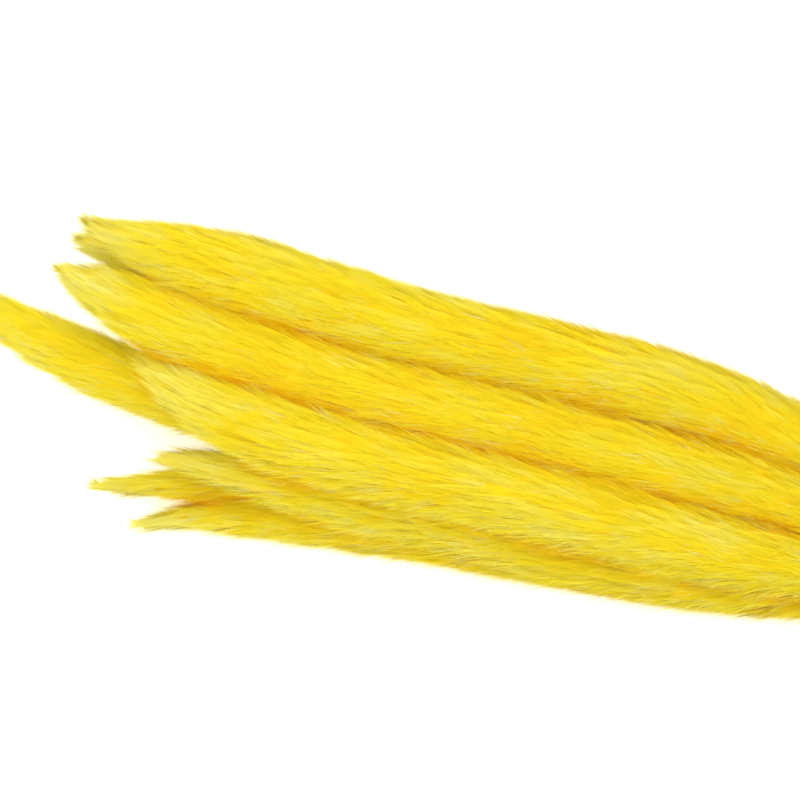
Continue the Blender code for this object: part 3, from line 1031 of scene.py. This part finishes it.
def stalk_of(reed):
    """A reed's stalk, its smooth line and its radius."""
    line, radius = stalk_line(reed)
    joints = joints_of(reed + "_stem")
    places = np.arange(line[0, 0], line[-1, 0], STALK_STEP)
    places = [places, [line[-1, 0] - RIM_ROUND, line[-1, 0]]] + [x + JOINT_OFFSETS for x in joints]
    places = np.unique(np.concatenate(places))
    places = places[places <= line[-1, 0]]
    swell = np.zeros(len(places))
    browned = np.zeros(len(places))
    for x in joints:
        away = places - x
        swell += JOINT_SWELL * np.exp(-((away / JOINT_HALF_LENGTH) ** 2))
        swell -= GROOVE_DEPTH * np.exp(-(((away + GROOVE_OFFSET) / GROOVE_HALF_LENGTH) ** 2))
        browned += JOINT_BROWN * np.exp(-((away / BROWN_HALF_LENGTH) ** 2))
    radii = radius * (1 + swell)
    radii[-1] -= RIM_ROUND
    bore_radius = radius * BORE_SHARE
    end_x = line[-1, 0]
    bore_places = (end_x, end_x - RIM_ROUND, end_x - BORE_DEPTH)
    bore_radii = (bore_radius + RIM_ROUND, bore_radius, bore_radius)
    all_places = np.concatenate([places, bore_places])
    path = np.column_stack([all_places, read_along(line, line[:, 1:], all_places)])
    ways = read_along(line, along_line(line), all_places)
    ways /= np.linalg.norm(ways, axis=1, keepdims=True)
    mesh = sweep(reed + "_stalk", path, np.concatenate([radii, bore_radii]), STALK_SIDES, ways)
    inner = np.concatenate([np.zeros(len(places) - 1), np.ones(len(bore_places) + 1)])
    browned = np.concatenate([browned, np.zeros(len(bore_places))])
    mark(mesh, "joint", np.repeat(browned, STALK_SIDES).clip(0, 1))
    mark(mesh, "pith", np.repeat(inner, STALK_SIDES))
    mark(mesh, "tone", np.full(len(mesh.vertices), random.Random(reed).random()))
    mesh.materials.append(dyed_straw)
    return in_scene(reed + "_stalk", mesh), line, radius


stalk_lines = {}
for reed in reeds:
    stalk, line, radius = stalk_of(reed)
    stalk_lines[reed] = line
    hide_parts(reed + "_stem")
    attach(stalk, "root")
    total += triangles_in(stalk)
stalk_radius = radius
print("stalks:", len(stalk_lines), "of radius", round(stalk_radius * 1000, 2), "mm; triangles so far:", total)

# %% [markdown]
# ## The jute
#
# Jute twine is matt and brown, spun from coarse fibres that run along each strand and differ in shade.

# %% The twine material


def jute_material():
    """Matt brown fibres."""
    made, tree, shader = new_material("jute", {
        "Roughness": 0.92, "Specular IOR Level": 0.2, "Sheen Weight": 0.3})
    fibres = noise(tree, round_the_seam(tree, 1.0, 1.6), 3.5, 4.0)
    tint = ramp(tree, fibres, (
        (0.30, (0.16, 0.085, 0.030)),
        (0.48, (0.40, 0.25, 0.110)),
        (0.62, (0.56, 0.39, 0.200)),
        (0.78, (0.70, 0.55, 0.340)),
    ))
    tree.links.new(tint, shader.inputs["Base Color"])
    bumped(tree, shader, fibres, 0.7)
    return made


jute = jute_material()
print("the twine's finish:", jute.name)

# %% [markdown]
# ## Spinning twine along a path
#
# Twine is two strands laid round each other. Geometry Nodes can spin it along any path: each strand is the path
# itself, pushed off to one side by an angle that grows along the way, with a round section swept along it. The
# second strand is half a turn behind the first. A few stray fibres are then scattered over the strands.

# %% The spinning tree
TWINE_RADIUS = 0.0009
STRAND_SHARE = 0.52  # a strand's radius in the twine's
LAY_LENGTH = 0.0042  # along the twine for one turn of its strands
PATH_STEP = 0.00045
FIBRE_LENGTH = 0.0022
FIBRE_WIDTH = 0.00007
MAP_TURNS_PER_METRE = 600.0  # how fast a strand's UV map runs along it

fibre_mesh = bpy.data.meshes.new("stray_fibre")
fibre_mesh.from_pydata(
    [(0.0, -FIBRE_WIDTH / 2, 0.0), (0.0, FIBRE_WIDTH / 2, 0.0),
     (FIBRE_LENGTH * 0.55, -FIBRE_WIDTH / 2, 0.0003), (FIBRE_LENGTH * 0.55, FIBRE_WIDTH / 2, 0.0003),
     (FIBRE_LENGTH, 0.0, 0.0)],
    [], [(0, 2, 3, 1), (2, 4, 3)])
fibre_mesh.uv_layers.new(name="UVMap")
stray_fibre = bpy.data.objects.new("stray_fibre", fibre_mesh)


def spinning_tree():
    """The tree that spins two strands of twine round each other along a path."""
    tree, given = new_tree("spin_twine_along_path", "Path", (
        ("Twine radius", TWINE_RADIUS),
        ("Lay length", LAY_LENGTH),
        ("Fibres per square metre", 1500000.0),
        ("Seed", 1),
    ), "Twine")
    strand_radius = times(tree, given["Twine radius"], STRAND_SHARE)
    push = minus(tree, given["Twine radius"], strand_radius)

    line = add(tree, "GeometryNodeMeshToCurve", {0: given["Path"]})
    even = add(tree, "GeometryNodeResampleCurve", {"Curve": line, "Length": PATH_STEP}, mode="LENGTH")
    walked = add_node(tree, "GeometryNodeSplineParameter").outputs["Length"]
    normal = add(tree, "GeometryNodeInputNormal")
    tangent = add(tree, "GeometryNodeInputTangent")
    across = vector_maths(tree, "CROSS_PRODUCT", tangent, normal)
    section = add(tree, "GeometryNodeCurvePrimitiveCircle", {"Resolution": 8, "Radius": strand_radius})
    round_share = add_node(tree, "GeometryNodeSplineParameter").outputs["Factor"]
    marked_section = stored(tree, section, "around", round_share)

    turned = times(tree, maths(tree, "DIVIDE", walked, given["Lay length"]), math.tau)
    marked = stored(tree, even, "walked", walked)
    strands = []
    for start in (0.0, math.pi):
        angle = plus(tree, turned, start)
        up = scaled(tree, normal, times(tree, maths(tree, "COSINE", angle), push))
        out = scaled(tree, across, times(tree, maths(tree, "SINE", angle), push))
        aside = vector_maths(tree, "ADD", up, out)
        moved = add(tree, "GeometryNodeSetPosition", {"Geometry": marked, "Offset": aside})
        strands.append(add(tree, "GeometryNodeCurveToMesh", {
            "Curve": moved, "Profile Curve": marked_section, "Fill Caps": True}))

    along = times(tree, named(tree, "walked"), MAP_TURNS_PER_METRE)
    unwrapped = combined(tree, along, named(tree, "around"), 0.0)
    mapped = stored(tree, joined(tree, *strands), "UVMap", unwrapped, "FLOAT2", "CORNER")
    smooth = add(tree, "GeometryNodeSetShadeSmooth", {"Geometry": mapped})

    scatter = add_node(tree, "GeometryNodeDistributePointsOnFaces", {
        "Mesh": smooth, "Density": given["Fibres per square metre"], "Seed": given["Seed"]})
    any_way = add(tree, "FunctionNodeRandomValue", {0: (-1.0,) * 3, 1: (1.0,) * 3}, data_type="FLOAT_VECTOR")
    heading = vector_maths(tree, "ADD", scaled(tree, scatter.outputs["Normal"], 0.5), any_way)
    pointed = add(tree, "FunctionNodeAlignRotationToVector", {"Vector": heading}, axis="X")
    length = add_node(tree, "FunctionNodeRandomValue", {"Min": 0.3, "Max": 1.1})
    single = add_node(tree, "GeometryNodeObjectInfo", {"Object": stray_fibre})
    fibres = add(tree, "GeometryNodeInstanceOnPoints", {
        "Points": scatter.outputs["Points"], "Instance": single.outputs["Geometry"],
        "Rotation": pointed, "Scale": length.outputs["Value"]})
    real = add(tree, "GeometryNodeRealizeInstances", {0: joined(tree, fibres, smooth)})
    finished = add(tree, "GeometryNodeSetMaterial", {"Geometry": real, "Material": jute})
    add_node(tree, "NodeGroupOutput", {"Twine": finished})
    return tree


twine_tree = spinning_tree()
print("nodes in the spinning tree:", len(twine_tree.nodes))

# %% Spin a path
TWINE_STEP = 0.0005  # between two points of a path


def spun(name, path, seed):
    """Twine along a line, as one plain mesh object."""
    mesh = bpy.data.meshes.new(name)
    mesh.from_pydata(path.tolist(), [(n, n + 1) for n in range(len(path) - 1)], [])
    made = in_scene(name, mesh)
    run_tree(made, twine_tree, {"Seed": seed})
    return made


# %% [markdown]
# ## The turns and the knot
#
# Pulled tight, twine touches only the outermost stalks and runs straight between them. So at each angle it lies
# beyond whichever stalk reaches furthest that way. Five turns lie side by side. From the first and the last one
# the twine climbs over the turns to the knot on top.
#
# The knot is an overhand knot. Its path is a trefoil, the simplest closed knot, cut open where it is widest, and
# the twine's two short ends run out from the cut.

# %% Wind the turns
TURNS = 5
TURN_POINTS = 60
TURN_PITCH = 2.05 * TWINE_RADIUS
CLIMB_ANGLE = 0.55  # in radians from the top, where the twine leaves the outer turns for the knot
CLIMB_LAYER = 0.95
CLIMB_POINTS = 4  # these last points of the turns make room for the climb

low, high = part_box("twine_wraps")
tie_x = (low[0] + high[0]) / 2
at_tie = np.concatenate([read_along(line, line[:, 1:], [tie_x]) for line in stalk_lines.values()])


def round_the_stalks(angle, x, layer=0):
    """A point on the tight path round the stalks, on a given layer of twine."""
    outward = np.array([math.cos(angle), math.sin(angle)])
    furthest = at_tie[np.argmax(at_tie @ outward)]
    y, z = furthest + outward * (stalk_radius + TWINE_RADIUS * (1 + 2 * layer))
    return np.array((x, y, z))


turn_path = []
for step in range(TURNS * TURN_POINTS + 1):
    share = step / TURN_POINTS
    x = tie_x + TURN_PITCH * (share - TURNS / 2)
    turn_path.append(round_the_stalks(math.pi / 2 + math.tau * share, x))
top_of_turns = round_the_stalks(math.pi / 2, tie_x, layer=1)
climbs = []
for end, side in ((0, 1), (-1, -1)):
    halfway = (turn_path[end][0] + tie_x) / 2
    climbs.append(round_the_stalks(math.pi / 2 + side * CLIMB_ANGLE, halfway, layer=CLIMB_LAYER))
path = [top_of_turns, climbs[0], *turn_path[CLIMB_POINTS:-CLIMB_POINTS], climbs[1], top_of_turns]
turns = spun("twine_turns", smooth_line(path, TWINE_STEP), 1)
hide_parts("twine_wraps")
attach(turns, "root")
total += triangles_in(turns)
print("twine turns wound; triangles so far:", total)

# %% Tie the knot
KNOT_SCALE = np.array((0.00118, 0.00095, 0.00100))
KNOT_POINTS = 90
KNOT_OPENING = 0.06  # in radians, half of where the trefoil is cut open
STUB_LENGTH = 0.0115
STUB_RISE = 0.18
STUB_ANGLES = (24.0, 151.0)

knot_middle = top_of_turns + np.array((0.0, 0.0, TWINE_RADIUS + KNOT_SCALE[2]))
knot_path = []
for t in np.linspace(KNOT_OPENING, math.tau - KNOT_OPENING, KNOT_POINTS):
    out = 2 + 0.9 * math.cos(3 * t)
    knot_path.append(knot_middle + KNOT_SCALE * (out * math.cos(2 * t), out * math.sin(2 * t), math.sin(3 * t)))
stubs = []
for angle in STUB_ANGLES:
    way = np.array((math.cos(math.radians(angle)), math.sin(math.radians(angle)), STUB_RISE))
    stubs.append(knot_middle + way * STUB_LENGTH)
knot_path = [stubs[0], (stubs[0] + knot_path[-1]) / 2] + knot_path[::-1] + [(stubs[1] + knot_path[0]) / 2, stubs[1]]
knot = spun("twine_overhand_knot", smooth_line(knot_path, TWINE_STEP), 2)
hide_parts("twine_knot")
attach(knot, "root")
total += triangles_in(knot)
print("knot tied; triangles in all:", total)
